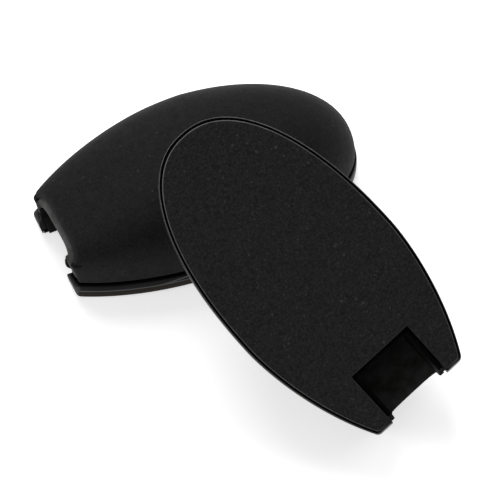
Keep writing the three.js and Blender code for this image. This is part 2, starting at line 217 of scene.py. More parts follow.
class Recipe:
    """A geometry tree with named inputs, which makes one piece's mesh."""

    def __init__(self, name, sizes, takes_points=False):
        self.name = name
        self.tree = bpy.data.node_groups.new(name, "GeometryNodeTree")
        new_socket = self.tree.interface.new_socket
        new_socket("Geometry", in_out="OUTPUT", socket_type="NodeSocketGeometry")
        if takes_points:
            new_socket("Places", in_out="INPUT", socket_type="NodeSocketGeometry")
        self.identifiers = {}
        for size, value in sizes.items():
            kind = "NodeSocketInt" if size.startswith("Count") else "NodeSocketFloat"
            socket = new_socket(size, in_out="INPUT", socket_type=kind)
            socket.default_value = value
            self.identifiers[size] = socket.identifier
        socket = new_socket("Material", in_out="INPUT", socket_type="NodeSocketMaterial")
        self.identifiers["Material"] = socket.identifier
        self.inputs = self.tree.nodes.new("NodeGroupInput")

    def node(self, kind, **settings):
        node = self.tree.nodes.new(kind)
        for key, value in settings.items():
            setattr(node, key, value)
        return node

    def link(self, output, socket):
        self.tree.links.new(output, socket)

    def size(self, name):
        return Term(self.tree, self.inputs.outputs[name])

    def grid(self, count_x, count_y):
        """A flat grid, and its two coordinates from 0 to 1."""
        grid = self.node("GeometryNodeMeshGrid")
        grid.inputs["Size X"].default_value = 1
        grid.inputs["Size Y"].default_value = 1
        self.link(self.inputs.outputs[count_x], grid.inputs["Vertices X"])
        self.link(self.inputs.outputs[count_y], grid.inputs["Vertices Y"])
        place = self.node("GeometryNodeInputPosition")
        parts = self.node("ShaderNodeSeparateXYZ")
        self.link(place.outputs[0], parts.inputs[0])
        along = Term(self.tree, parts.outputs["X"]) + 0.5
        round_ = Term(self.tree, parts.outputs["Y"]) + 0.5
        return grid.outputs["Mesh"], along, round_

    def placed(self, mesh, x, y, z):
        """The mesh with every point moved to x, y, z in millimetres, and doubled points merged."""
        join = self.node("ShaderNodeCombineXYZ")
        for slot, value in zip(join.inputs, (x, y, z)):
            self.link(value.socket, slot)
        metres = self.node("ShaderNodeVectorMath", operation="SCALE")
        metres.inputs["Scale"].default_value = MM
        self.link(join.outputs[0], metres.inputs[0])
        move = self.node("GeometryNodeSetPosition")
        self.link(mesh, move.inputs["Geometry"])
        self.link(metres.outputs[0], move.inputs["Position"])
        merge = self.node("GeometryNodeMergeByDistance")
        merge.inputs["Distance"].default_value = SAME_POINT * MM
        self.link(move.outputs[0], merge.inputs["Geometry"])
        return merge.outputs[0]

    def spread(self, body):
        """The body at each of the places that the tree is given."""
        spread = self.node("GeometryNodeInstanceOnPoints")
        self.link(self.inputs.outputs["Places"], spread.inputs["Points"])
        self.link(body, spread.inputs["Instance"])
        return spread

    def finish(self, geometry):
        """Ends the tree with plain geometry in the piece's material."""
        realize = self.node("GeometryNodeRealizeInstances")
        self.link(geometry, realize.inputs[0])
        finish = self.node("GeometryNodeSetMaterial")
        self.link(realize.outputs[0], finish.inputs["Geometry"])
        self.link(self.inputs.outputs["Material"], finish.inputs["Material"])
        output = self.node("NodeGroupOutput")
        self.link(finish.outputs[0], output.inputs[0])

    def make(self, name, material, points=(), **sizes):
        """A plain mesh from the tree."""
        seed = bpy.data.meshes.new(name)
        seed.from_pydata([Vector(p) * MM for p in points], [], [])
        holder = bpy.data.objects.new(name, seed)
        bpy.context.scene.collection.objects.link(holder)
        modifier = holder.modifiers.new(self.name, "NODES")
        modifier.node_group = self.tree
        for size, value in sizes.items():
            modifier[self.identifiers[size.replace("_", " ")]] = value
        modifier[self.identifiers["Material"]] = material
        depsgraph = bpy.context.evaluated_depsgraph_get()
        mesh = bpy.data.meshes.new_from_object(holder.evaluated_get(depsgraph))
        bpy.data.objects.remove(holder)
        return mesh


def named(recipe, *names):
    return [recipe.size(name) for name in names]


OUTLINE_SIZES = {
    "Length": float(GUARD_LENGTH),
    "Half width": GUARD_WIDTH / 2,
    "Widest from mouth": float(WIDEST_FROM_MOUTH),
    "Half mouth": MOUTH_WIDTH / 2,
    "Round end exponent": ROUND_END_EXPONENT,
    "Taper exponent": TAPER_EXPONENT,
}


def half_width_term(recipe, x, inset):
    """Half of the rim's width at x, moved in by inset."""
    length, half, widest, mouth, blunt, taper = named(recipe, *OUTLINE_SIZES)
    ahead = (x - widest).ramp(0.0, length - widest - inset)
    round_end = (half - inset) * (1.0 - ahead**blunt).at_least(0.0) ** (1.0 / blunt)
    share = (mouth / half) ** taper
    reach = widest / (1.0 - share) ** (1.0 / taper)
    behind = ((widest - x) / reach).at_least(0.0)
    narrow = half * (1.0 - behind**taper).at_least(0.0) ** (1.0 / taper)
    return round_end + narrow - half


# ---------------------------------------------------------------- The same rules as plain numbers


def half_width(x, inset=0.0):
    """Half of the rim's width at x, moved in by inset."""
    half = GUARD_WIDTH / 2
    if x >= WIDEST_FROM_MOUTH:
        t = min((x - WIDEST_FROM_MOUTH) / (GUARD_LENGTH - WIDEST_FROM_MOUTH - inset), 1)
        return (half - inset) * (1 - t**ROUND_END_EXPONENT) ** (1 / ROUND_END_EXPONENT)
    share = (MOUTH_WIDTH / 2 / half) ** TAPER_EXPONENT
    reach = WIDEST_FROM_MOUTH / (1 - share) ** (1 / TAPER_EXPONENT)
    t = (WIDEST_FROM_MOUTH - x) / reach
    return half * (1 - t**TAPER_EXPONENT) ** (1 / TAPER_EXPONENT) - inset


SIDE_STEPS = 150
CORNER_STEPS = 8


def outline(inset, notch_margin=0.0, reach=0.0):
    """The rim's outline with the notch cut into it, as (x, y) points.

    Inset moves it in, notch_margin widens the notch, and reach moves the mouth out."""
    mouth = inset - reach
    start = mouth + MOUTH_CORNER
    tip = GUARD_LENGTH - inset
    edge = half_width(mouth, inset)
    after = half_width(start, inset)
    side = [(mouth, NOTCH_WIDTH / 2 + notch_margin)]
    for i in range(CORNER_STEPS + 1):
        t = i / CORNER_STEPS
        x = mouth + MOUTH_CORNER * t * t
        y = (1 - t) ** 2 * (edge - MOUTH_CORNER) + 2 * t * (1 - t) * edge + t * t * after
        side.append((x, y))
    for i in range(1, SIDE_STEPS):
        x = start + (tip - start) * math.sin(i / SIDE_STEPS * PI / 2)
        side.append((x, half_width(x, inset)))
    inner = (NOTCH_DEPTH + notch_margin, NOTCH_WIDTH / 2 + notch_margin)
    near = [(inner[0], -inner[1])] + [(x, -y) for x, y in side]
    far = [(x, y) for x, y in reversed(side)] + [inner]
    return near + [(tip, 0.0)] + far


def stacked(layers):
    """A closed solid over loops of equal length, each given as (points, z), with a flat face at each end."""
    shape = bmesh.new()
    loops = []
    for points, z in layers:
        loops.append([shape.verts.new(Vector((x, y, z)) * MM) for x, y in points])
    for low, high in zip(loops, loops[1:]):
        for i in range(len(low)):
            j = (i + 1) % len(low)
            shape.faces.new((low[i], low[j], high[j], high[i]))
    shape.faces.new(list(reversed(loops[0])))
    shape.faces.new(loops[-1])
    return shape


def mesh_from(shape, name, material):
    mesh = bpy.data.meshes.new(name)
    shape.to_mesh(mesh)
    shape.free()
    mesh.materials.append(material)
    return mesh


def facing_out(mesh):
    """Turns a closed mesh round if its volume comes out negative."""
    shape = bmesh.new()
    shape.from_mesh(mesh)
    if shape.calc_volume(signed=True) < 0:
        bmesh.ops.reverse_faces(shape, faces=shape.faces[:])
    shape.to_mesh(mesh)
    shape.free()
    return mesh


def joined(material, *meshes):
    """One mesh from several, all in one material."""
    shape = bmesh.new()
    for mesh in meshes:
        shape.from_mesh(mesh)
    for face in shape.faces:
        face.material_index = 0
    return mesh_from(shape, meshes[0].name, material)


# ---------------------------------------------------------------- Node trees for the pieces


def shell_recipe():
    """A domed shell with a rolled edge round its mouth and a flat foot."""
    sizes = dict(OUTLINE_SIZES)
    sizes.update({
        "Count along": 140,
        "Count round": 404,
        "Arc segments": 198.0,
        "Skirt segments": 0.0,
        "Inset": COVER_INSET,
        "Depth": 0.0,
        "Wall": float(COVER_WALL),
        "Skirt": 0.0,
        "Skirt start": 0.0,
        "Base": DOME_BASE,
        "Height": DOME_HEIGHT - DOME_BASE,
        "Arch height": MOUTH_ARCH_HEIGHT - DOME_BASE,
        "Crest from mouth": float(CREST_FROM_MOUTH),
        "Crest exponent, round end": CREST_EXPONENT_ROUND_END,
        "Crest exponent, mouth": CREST_EXPONENT_MOUTH,
        "Section exponent, mouth": SECTION_EXPONENT_MOUTH,
        "Section exponent, round end": SECTION_EXPONENT_ROUND_END,
        "Mouth squareness": MOUTH_SQUARENESS,
        "Mouth squareness fall": float(MOUTH_SQUARENESS_FALL),
        "Cheek setback": CHEEK_FOOT_SETBACK,
        "Cheek reach": CHEEK_TIP_REACH,
        "Cheek height": float(CHEEK_HEIGHT),
        "Slit width": SLIT_WIDTH,
        "Slit depth": SLIT_DEPTH,
        "Flap reach": FLAP_REACH,
        "Flap lean": FLAP_LEAN,
        "Lip": 0.0,
        "Outer edge roll": 0.8,
        "Inner edge roll": 0.8,
        "Foot roll": 0.4,
    })
    recipe = Recipe("Domed shell", sizes)
    mesh, along, round_ = recipe.grid("Count along", "Count round")
    size = recipe.size
    roll_rows = 6.0
    wall_segments = 3.0

    # Steps round the section: outer arc, skirt, foot, skirt, inner arc, skirt, foot, skirt
    arc, skirt_steps = named(recipe, "Arc segments", "Skirt segments")
    step = round_ * (size("Count round") - 1.0)
    foot_1 = arc + skirt_steps
    up_1 = foot_1 + wall_segments
    back = up_1 + skirt_steps
    down_2 = back + arc
    foot_2 = down_2 + skirt_steps
    up_2 = foot_2 + wall_segments
    angle = (step.ramp(0.0, arc) - step.ramp(back, down_2)) * PI
    inner = step.ramp(foot_1, up_1) - step.ramp(foot_2, up_2)
    down = step.ramp(arc, foot_1) - step.ramp(up_1, back)
    down = down + step.ramp(down_2, foot_2) - step.ramp(up_2, up_2 + skirt_steps)

    # Rows along the guard: half of the wall's edge, its rolled corner, then the body
    row = along * (size("Count along") - 1.0)
    edge = row.ramp(0.0, 1.0)
    roll = row.ramp(1.0, 1.0 + roll_rows) * (PI / 2)
    body = (row - (1.0 + roll_rows)) / (size("Count along") - (2.0 + roll_rows))
    body = body.at_least(0.0)
    wall, outer_roll, inner_roll = named(recipe, "Wall", "Outer edge roll", "Inner edge roll")
    outer_depth = wall * 0.5 + (outer_roll - wall * 0.5) * edge - outer_roll * roll.sin()
    inner_depth = wall * 0.5 + (wall * 0.5 - inner_roll) * edge + inner_roll * roll.sin()
    depth = outer_depth * (1.0 - inner) + inner_depth * inner
    radius = outer_roll * (1.0 - inner) + inner_roll * inner
    inset = size("Inset") + depth
    sink = size("Depth") + depth

    def section(x):
        """Half width, height and the section's reach along the two axes at x."""
        tall, crest, arch = named(recipe, "Height", "Crest from mouth", "Arch height")
        blunt, taper = named(recipe, "Crest exponent, round end", "Crest exponent, mouth")
        ahead = (x - crest).ramp(0.0, size("Length") - crest - inset)
        round_end = (tall - sink) * (1.0 - ahead**blunt).at_least(0.0) ** (1.0 / blunt)
        share = (arch / tall) ** taper
        reach = crest / (1.0 - share) ** (1.0 / taper)
        behind = ((crest - x) / reach).at_least(0.0)
        mouth_side = tall * (1.0 - behind**taper).at_least(0.0) ** (1.0 / taper)
        height = round_end + mouth_side - tall
        first, last = named(recipe, "Section exponent, mouth", "Section exponent, round end")
        left = 1.0 - x.ramp(0.0, size("Length"))
        square = size("Mouth squareness") * left ** size("Mouth squareness fall")
        power = last + (first - last) * left + square
        across = abs(angle.cos())
        up = angle.sin().at_least(0.0)
        spread = (across**power + up**power) ** (-1.0 / power)
        rise = height * spread * up
        tuck = (1.0 - rise.ramp(0.0, size("Foot roll") * 1.5)) * (1.0 - inner) * size("Foot roll")
        y = (half_width_term(recipe, x, inset) - tuck * tuck * 2.0) * spread * angle.cos()
        z = size("Base") - size("Skirt") * down + rise
        return y, z

    def mouth_edge(z):
        foot = size("Base")
        cheek_top = foot + size("Cheek height")
        flap_foot = cheek_top + size("Slit width")
        setback, reach, lip = named(recipe, "Cheek setback", "Cheek reach", "Lip")
        cheek = setback - (setback + reach) * z.ramp(foot, cheek_top)
        flap = (z - flap_foot) * size("Flap lean") - size("Flap reach")
        in_cheek = z.below(cheek_top)
        in_flap = 1.0 - z.below(flap_foot)
        in_slit = 1.0 - in_cheek - in_flap
        in_skirt = z.below(foot - 0.5)
        edge_x = cheek * in_cheek + flap * in_flap + size("Slit depth") * in_slit - lip
        return edge_x * (1.0 - in_skirt) + size("Skirt start") * in_skirt

    zero = step * 0.0
    first_guess = mouth_edge(section(zero)[1])
    second_guess = mouth_edge(section(first_guess)[1])
    start = mouth_edge(section(second_guess)[1])
    tip = size("Length") - inset
    x = start + radius * (1.0 - roll.cos()) + (tip - start - radius) * (body * (PI / 2)).sin()
    y, z = section(x)
    recipe.finish(recipe.placed(mesh, x, y, z))
    return recipe


def rim_recipe():
    """The tray's rim: a bead that follows the outline from one side of the notch round to the other."""
    sizes = dict(OUTLINE_SIZES)
    sizes.update({
        "Count along": 361,
        "Count round": 35,
        "Corner": float(MOUTH_CORNER),
        "Arm foot reach": ARM_FOOT_REACH,
        "Arm reach": ARM_REACH,
        "Ledge reach": LEDGE_REACH,
        "Half notch": NOTCH_WIDTH / 2,
        "Foot": RIM_FOOT,
        "Height": float(RIM_HEIGHT),
        "Crown": BEAD_CROWN,
        "Edge roll": BEAD_EDGE,
        "Wall": RIM_WALL,
        "Ledge": PLATE_INSET - PLATE_GAP,
        "Ledge height": TRAY_FLOOR_LOW,
    })
    recipe = Recipe("Rim bead", sizes)
    mesh, along, round_ = recipe.grid("Count along", "Count round")
    size = recipe.size
    foot, height, crown, roll, wall, ledge, ledge_high, corner = named(
        recipe, "Foot", "Height", "Crown", "Edge roll", "Wall", "Ledge", "Ledge height", "Corner"
    )

    # Section: up the bead, in over the top, down the inner wall to the ledge, out, and down to the foot
    bead_end = 24.0
    top_end, wall_end, ledge_end, drop_end, foot_end = (bead_end + steps for steps in (2, 5, 6, 8, 10))
    crown_power = 2.4
    roll_power = 20.0
    step = round_ * (size("Count round") - 1.0)
    off = ((step.ramp(0.0, bead_end) - 0.5) * PI).sin()
    top_in = step.ramp(bead_end, top_end)
    wall_down = step.ramp(top_end, wall_end)
    ledge_out = step.ramp(wall_end, ledge_end)
    ledge_down = step.ramp(ledge_end, drop_end)
    foot_out = step.ramp(drop_end, foot_end)
    z = (foot + height) * 0.5 + (height - foot) * 0.5 * off
    z = z - (height - ledge_high) * wall_down - (ledge_high - foot) * ledge_down
    swell = crown * abs(off) ** crown_power + roll * abs(off) ** roll_power
    inset = swell + (wall - crown - roll) * top_in
    inset = inset - (wall - ledge) * ledge_out - (ledge - crown - roll) * foot_out

    # Path: along the mouth edge, round the corner, then along the side to the tip, on each side
    edge_end = 4.0
    corner_end = 14.0
    across = (along - 0.5) * 2.0
    side_end = (size("Count along") - 1.0) * 0.5
    step_along = (1.0 - abs(across)) * side_end
    edge_t = step_along.ramp(0.0, edge_end)
    corner_t = step_along.ramp(edge_end, corner_end)
    side_t = ((step_along - corner_end) / (side_end - corner_end)).at_least(0.0)
    tip = size("Length") - inset
    low_reach, high_reach = named(recipe, "Arm foot reach", "Arm reach")
    reach = low_reach + (high_reach - low_reach) * z.ramp(foot, height)
    reach = reach + (size("Ledge reach") - reach) * (ledge_out - foot_out)
    mouth = inset - reach
    start = mouth + corner
    run = (tip - start) * (side_t * (PI / 2)).sin()
    x = mouth + corner * corner_t * corner_t + run
    edge = half_width_term(recipe, mouth, inset)
    after = half_width_term(recipe, start, inset)
    left = 1.0 - corner_t
    notch = size("Half notch")
    straight = notch + (edge - corner - notch) * edge_t
    bend = left * left * (edge - corner) + 2.0 * (left * corner_t * edge) + corner_t * corner_t * after
    side = half_width_term(recipe, start + run, inset) - after
    y = (straight + bend - (edge - corner) + side) * across.math("SIGN")
    recipe.finish(recipe.placed(mesh, x, y, z))
    return recipe


def screw_recipe():
    """Countersunk screws with a rolled thread and a cross recess, one at each place."""
    sizes = {
        "Count round": 33,
        "Count along": 91,
        "Head radius": SCREW_HEAD_RADIUS,
        "Head height": SCREW_HEAD_HEIGHT,
        "Radius": SCREW_RADIUS,
        "Length": SCREW_LENGTH,
        "Thread pitch": 0.9,
        "Thread depth": 0.22,
        "Recess width": 0.8,
        "Recess depth": 0.9,
        "Turn": 1.1,
    }
    recipe = Recipe("Screw set", sizes, takes_points=True)
    mesh, along, round_ = recipe.grid("Count along", "Count round")
    size = recipe.size
    turn = round_ * (2 * PI)
    row = along * (size("Count along") - 1.0)
    head, radius, length, head_height = named(recipe, "Head radius", "Radius", "Length", "Head height")
    face_end, cone_end, shank_end, point_end = 2.0, 4.0, 84.0, 90.0
    thread_start, thread_full = 6.0, 10.0
    face = row.ramp(0.0, face_end)
    cone = row.ramp(face_end, cone_end)
    shank = row.ramp(cone_end, shank_end)
    point = row.ramp(shank_end, point_end)
    z = head_height * cone + (length - head_height - radius) * shank + radius * point
    winding = z / size("Thread pitch") - round_
    wave = abs(winding.math("FRACT") - 0.5) * 2.0
    threaded = row.ramp(thread_start, thread_full) * (1.0 - point)
    cut = size("Thread depth") * (wave * 1.6 - 0.5).at_least(0.0) * threaded
    reach = head * face - (head - radius) * cone - cut
    reach = reach * (1.0 - point * point).at_least(0.0).math("SQRT")
    body = recipe.placed(mesh, reach * turn.cos(), reach * turn.sin(), z)

    cutters = recipe.node("GeometryNodeJoinGeometry")
    for quarter in (0, 1):
        bar = recipe.node("GeometryNodeMeshCube")
        spans = recipe.node("ShaderNodeCombineXYZ")
        long_side, short_side = head * MM, size("Recess width") * MM
        sides = (long_side, short_side) if quarter == 0 else (short_side, long_side)
        recipe.link(sides[0].socket, spans.inputs[0])
        recipe.link(sides[1].socket, spans.inputs[1])
        recipe.link((size("Recess depth") * (2 * MM)).socket, spans.inputs[2])
        recipe.link(spans.outputs[0], bar.inputs["Size"])
        recipe.link(bar.outputs["Mesh"], cutters.inputs[0])
    recess = recipe.node("GeometryNodeMeshBoolean", operation="DIFFERENCE")
    recipe.link(body, recess.inputs["Mesh 1"])
    recipe.link(cutters.outputs[0], recess.inputs["Mesh 2"])

    spread = recipe.spread(recess.outputs["Mesh"])
    index = recipe.node("GeometryNodeInputIndex")
    angle = Term(recipe.tree, index.outputs[0]) * size("Turn")
    spin = recipe.node("ShaderNodeCombineXYZ")
    recipe.link(angle.socket, spin.inputs["Z"])
    recipe.link(spin.outputs[0], spread.inputs["Rotation"])
    recipe.finish(spread.outputs[0])
    return recipe


def boss_recipe():
    """Tubes that the screws bite into, one at each place."""
    sizes = {
        "Count round": 41,
        "Count along": 9,
        "Radius": BOSS_RADIUS,
        "Bore": BOSS_BORE,
        "Height": float(BOSS_HEIGHT),
    }
    recipe = Recipe("Screw bosses", sizes, takes_points=True)
    mesh, along, round_ = recipe.grid("Count along", "Count round")
    size = recipe.size
    turn = round_ * (2 * PI)
    outer_end, top_end, inner_end, foot_end = 3.0, 4.0, 7.0, 8.0
    row = along * foot_end
    outer_up = row.ramp(0.0, outer_end)
    top_in = row.ramp(outer_end, top_end)
    inner_down = row.ramp(top_end, inner_end)
    foot_out = row.ramp(inner_end, foot_end)
    z = size("Height") * (outer_up - inner_down)
    reach = size("Radius") - (size("Radius") - size("Bore")) * (top_in - foot_out)
    body = recipe.placed(mesh, reach * turn.cos(), reach * turn.sin(), z)
    recipe.finish(recipe.spread(body).outputs[0])
    return recipe


# ---------------------------------------------------------------- Finishes


class Finish:
    """A procedural material around one Principled shader."""

    def __init__(self, name, **values):
        self.material = bpy.data.materials.new(name)
        self.material.use_nodes = True
        self.nodes = self.material.node_tree.nodes
        self.links = self.material.node_tree.links
        self.shader = self.nodes["Principled BSDF"]
        for socket, value in values.items():
            self.shader.inputs[socket.replace("_", " ")].default_value = value
        self.place = self.nodes.new("ShaderNodeTexCoord").outputs["Object"]

    def attribute(self, name):
        node = self.nodes.new("ShaderNodeAttribute")
        node.attribute_name = name
        return node.outputs["Fac"]

    def near(self, value, middle, reach):
        """1 at the middle and 0 from reach on."""
        off = self.calc("ABSOLUTE", self.calc("SUBTRACT", value, middle))
        return self.band(off, 0.0, reach, 1.0, 0.0)

    def round_end(self):
        """0 along the sides and 1 at the guard's round end."""
        return self.band(self.attribute("along"), 70, 100)

    def noise(self, cell, detail=3.0, rough=0.55):
        """Noise from 0 to 1 with patches about cell millimetres across."""
        node = self.nodes.new("ShaderNodeTexNoise")
        node.inputs["Scale"].default_value = 1 / (cell * MM)
        node.inputs["Detail"].default_value = detail
        node.inputs["Roughness"].default_value = rough
        self.links.new(self.place, node.inputs["Vector"])
        return node.outputs["Fac"]

    def band(self, value, low, high, start=0.0, end=1.0):
        """Takes value from low..high to start..end, with both ends held."""
        node = self.nodes.new("ShaderNodeMapRange")
        for key, number in (("From Min", low), ("From Max", high), ("To Min", start), ("To Max", end)):
            node.inputs[key].default_value = number
        self.links.new(value, node.inputs["Value"])
        return node.outputs["Result"]

    def calc(self, operation, *values):
        node = self.nodes.new("ShaderNodeMath")
        node.operation = operation
        for slot, value in zip(node.inputs, values):
            if isinstance(value, (int, float)):
                slot.default_value = value
            else:
                self.links.new(value, slot)
        return node.outputs[0]

    def specks(self, cell, smallest, largest, share):
        """Dust: round specks in a share of the cells, 0 outside them and up to 1 inside."""
        cells = self.nodes.new("ShaderNodeTexVoronoi")
        cells.inputs["Scale"].default_value = 1 / (cell * MM)
        self.links.new(self.place, cells.inputs["Vector"])
        parts = self.nodes.new("ShaderNodeSeparateColor")
        self.links.new(cells.outputs["Color"], parts.inputs[0])
        size = self.band(parts.outputs["Red"], 0.0, 1.0, smallest / cell, largest / cell)
        inside = self.calc("SUBTRACT", 1.0, self.calc("DIVIDE", cells.outputs["Distance"], size))
        inside = self.band(inside, 0.0, 0.5)
        chosen = self.calc("LESS_THAN", parts.outputs["Green"], share)
        strength = self.band(parts.outputs["Blue"], 0.0, 1.0, 0.25, 1.0)
        return self.calc("MULTIPLY", self.calc("MULTIPLY", inside, chosen), strength)

    def mix(self, factor, first, second):
        """Colour that goes from first to second. Each is a colour or a socket."""
        node = self.nodes.new("ShaderNodeMix")
        node.data_type = "RGBA"
        self.links.new(factor, node.inputs["Factor"])
        for slot, value in ((node.inputs[6], first), (node.inputs[7], second)):
            if isinstance(value, tuple):
                slot.default_value = (*value, 1)
            else:
                self.links.new(value, slot)
        return node.outputs[2]

    def bump(self, height, distance, strength=1.0, under=None):
        node = self.nodes.new("ShaderNodeBump")
        node.inputs["Distance"].default_value = distance * MM
        node.inputs["Strength"].default_value = strength
        self.links.new(height, node.inputs["Height"])
        if under is not None:
            self.links.new(under, node.inputs["Normal"])
        return node.outputs["Normal"]

    def set(self, **sockets):
        for name, value in sockets.items():
            self.links.new(value, self.shader.inputs[name.replace("_", " ")])
        return self.material


def grey(value, tint=(1, 1, 1)):
    return tuple(value * t for t in tint)


def soft_cover_finish():
    finish = Finish("soft_touch_cover", Specular_IOR_Level=0.10, Sheen_Weight=0.05, Sheen_Roughness=0.4)
    broad = finish.noise(14, 3)
    blotches = finish.noise(2.2, 3, 0.6)
    grain = finish.noise(0.7, 4, 0.7)
    dust = finish.specks(1.6, 0.24, 0.46, 0.28)
    base = finish.mix(finish.band(blotches, 0.35, 0.65), grey(0.0068), grey(0.0102))
    mottled = finish.mix(finish.band(grain, 0.45, 0.75), base, grey(0.019))
    dusty = finish.band(broad, 0.42, 0.62, 0.10, 0.85)
    colour = finish.mix(finish.calc("MULTIPLY", dust, dusty), mottled, grey(0.055, (1, 0.98, 0.95)))
    rough = finish.band(finish.noise(3.0, 4), 0.3, 0.7, 0.70, 0.82)
    bumps = finish.bump(grain, 0.06, 1.0)
    bumps = finish.bump(blotches, 0.04, 0.6, bumps)
    return finish.set(Base_Color=colour, Roughness=rough, Normal=bumps)


def face_plate_finish():
    finish = Finish("face_plate_matte", Specular_IOR_Level=0.08, Sheen_Weight=0.02, Sheen_Roughness=0.5)
    patches = finish.noise(6, 4, 0.6)
    blotches = finish.noise(1.5, 2, 0.5)
    grain = finish.noise(0.7, 5, 0.7)
    dusty = finish.band(patches, 0.44, 0.60)
    dust = finish.specks(1.5, 0.28, 0.52, 0.35)
    fine = finish.specks(0.8, 0.20, 0.34, 0.40)
    base = finish.mix(finish.band(blotches, 0.35, 0.65), grey(0.0100), grey(0.0155))
    mottled = finish.mix(finish.band(grain, 0.42, 0.74), base, grey(0.036))
    fine_share = finish.calc("MULTIPLY", fine, finish.band(dusty, 0.0, 1.0, 0.05, 0.65))
    dusted = finish.mix(fine_share, mottled, grey(0.060))
    dust_share = finish.calc("MULTIPLY", dust, finish.band(dusty, 0.0, 1.0, 0.08, 0.85))
    spotted = finish.mix(dust_share, dusted, grey(0.075, (1, 0.99, 0.97)))
    height = finish.attribute("height")
    # Painted highlight: the plate's rounded edge is painted lighter in patches, and lighter still towards the
    # round end.
    edge = finish.near(height, 0.5 * PLATE_EDGE, 0.5 * PLATE_EDGE)
    highlight_patches = finish.band(finish.noise(6, 3), 0.3, 0.6, 0.6, 1.0)
    edge_highlight = finish.calc("MULTIPLY", finish.band(edge, 0.05, 0.4), highlight_patches)
    highlight_colour = finish.mix(finish.round_end(), grey(0.090), grey(0.150))
    with_edge_highlight = finish.mix(edge_highlight, spotted, highlight_colour)
    # Painted shade: round the notch, the plate's rounded edge and sides are painted near black.
    shaded = finish.calc("MULTIPLY", finish.attribute("notch"), finish.band(height, 0.02, 0.12))
    colour = finish.mix(shaded, with_edge_highlight, grey(0.002))
    rough = finish.band(finish.noise(2.0, 4), 0.3, 0.7, 0.66, 0.8)
    bumps = finish.bump(grain, 0.06, 1.0)
    return finish.set(Base_Color=colour, Roughness=rough, Normal=bumps)


def rim_finish():
    finish = Finish("rim_satin", Specular_IOR_Level=0.06)
    grain = finish.noise(0.6, 4, 0.6)
    height = finish.attribute("height")
    dust = finish.specks(1.8, 0.08, 0.18, 0.12)
    base = finish.mix(finish.band(finish.noise(9, 3), 0.35, 0.65), grey(0.0062), grey(0.0082))
    # Painted reflection: below the highlight line the rim is painted a warm brown.
    foot = finish.band(height, RIM_HIGHLIGHT_HEIGHT - 0.5, RIM_HIGHLIGHT_HEIGHT - 0.1, 1.0, 0.0)
    with_warm_reflection = finish.mix(foot, base, grey(0.0100, (1.45, 1, 0.65)))
    # Painted highlight: a light line round the rim's side.
    with_highlight = finish.mix(finish.near(height, RIM_HIGHLIGHT_HEIGHT, HIGHLIGHT_REACH), with_warm_reflection, grey(0.100))
    # Painted highlight: a second light line that climbs the rim's side towards the round end.
    along = finish.attribute("along")
    climb = finish.calc("MULTIPLY", finish.calc("SUBTRACT", along, RISING_HIGHLIGHT_FROM_MOUTH), RISING_HIGHLIGHT_CLIMB)
    rise = finish.calc("ADD", climb, RIM_HIGHLIGHT_HEIGHT)
    rising_highlight = finish.calc("MULTIPLY", finish.near(height, rise, HIGHLIGHT_REACH), finish.band(along, 22, 30))
    with_rising_highlight = finish.mix(rising_highlight, with_highlight, grey(0.120))
    # Painted highlight: a light band along the rim's foot, lighter towards the round end.
    crown = finish.mix(finish.round_end(), grey(0.060), grey(0.150))
    with_lip_highlight = finish.mix(finish.near(height, RIM_FOOT, 0.3), with_rising_highlight, crown)
    # Painted highlight: the rim's end faces at the mouth are painted lighter.
    with_end_highlight = finish.mix(finish.attribute("end"), with_lip_highlight, grey(0.050))
    colour = finish.mix(dust, with_end_highlight, grey(0.06))
    # Painted shade: the gap round the plate and the rim's faces along the notch are painted near black.
    shaded = finish.mix(finish.attribute("gap"), colour, grey(0.0008))
    rough = finish.band(finish.noise(4.0, 4), 0.3, 0.7, 0.30, 0.42)
    bumps = finish.bump(grain, 0.012, 0.7)
    bumps = finish.bump(finish.noise(7.0, 2), 0.06, 0.5, bumps)
    return finish.set(Base_Color=shaded, Roughness=rough, Normal=bumps)


def hard_plastic_finish(name, low, high, rough_low, rough_high, gloss):
    finish = Finish(name, Specular_IOR_Level=gloss)
    flow = finish.noise(5.0, 4, 0.6)
    scuffs = finish.specks(1.2, 0.05, 0.14, 0.10)
    base = finish.mix(finish.band(flow, 0.35, 0.65), grey(low, (1.08, 1.0, 0.88)), grey(high))
    colour = finish.mix(scuffs, base, grey(high * 2))
    rough = finish.band(finish.noise(1.8, 4), 0.3, 0.7, rough_low, rough_high)
    bumps = finish.bump(finish.noise(0.5, 3), 0.02, 0.6)
    return finish.set(Base_Color=colour, Roughness=rough, Normal=bumps)


def adhesive_finish():
    finish = Finish("foam_adhesive", Specular_IOR_Level=0.2)
    pores = finish.noise(0.4, 2)
    colour = finish.mix(finish.band(pores, 0.3, 0.7), grey(0.018), grey(0.035, (1, 0.98, 0.92)))
    rough = finish.band(finish.noise(1.0, 2), 0.3, 0.7, 0.85, 0.95)
    return finish.set(Base_Color=colour, Roughness=rough, Normal=finish.bump(pores, 0.05))


def steel_finish():
    finish = Finish("screw_steel", Metallic=1.0)
    turning = finish.noise(0.25, 3)
    colour = finish.mix(finish.band(turning, 0.3, 0.7), grey(0.42), grey(0.55, (1, 1.0, 0.99)))
    rough = finish.band(finish.noise(0.8, 3), 0.3, 0.7, 0.25, 0.42)
    return finish.set(Base_Color=colour, Roughness=rough, Normal=finish.bump(turning, 0.01))


# ---------------------------------------------------------------- Pieces


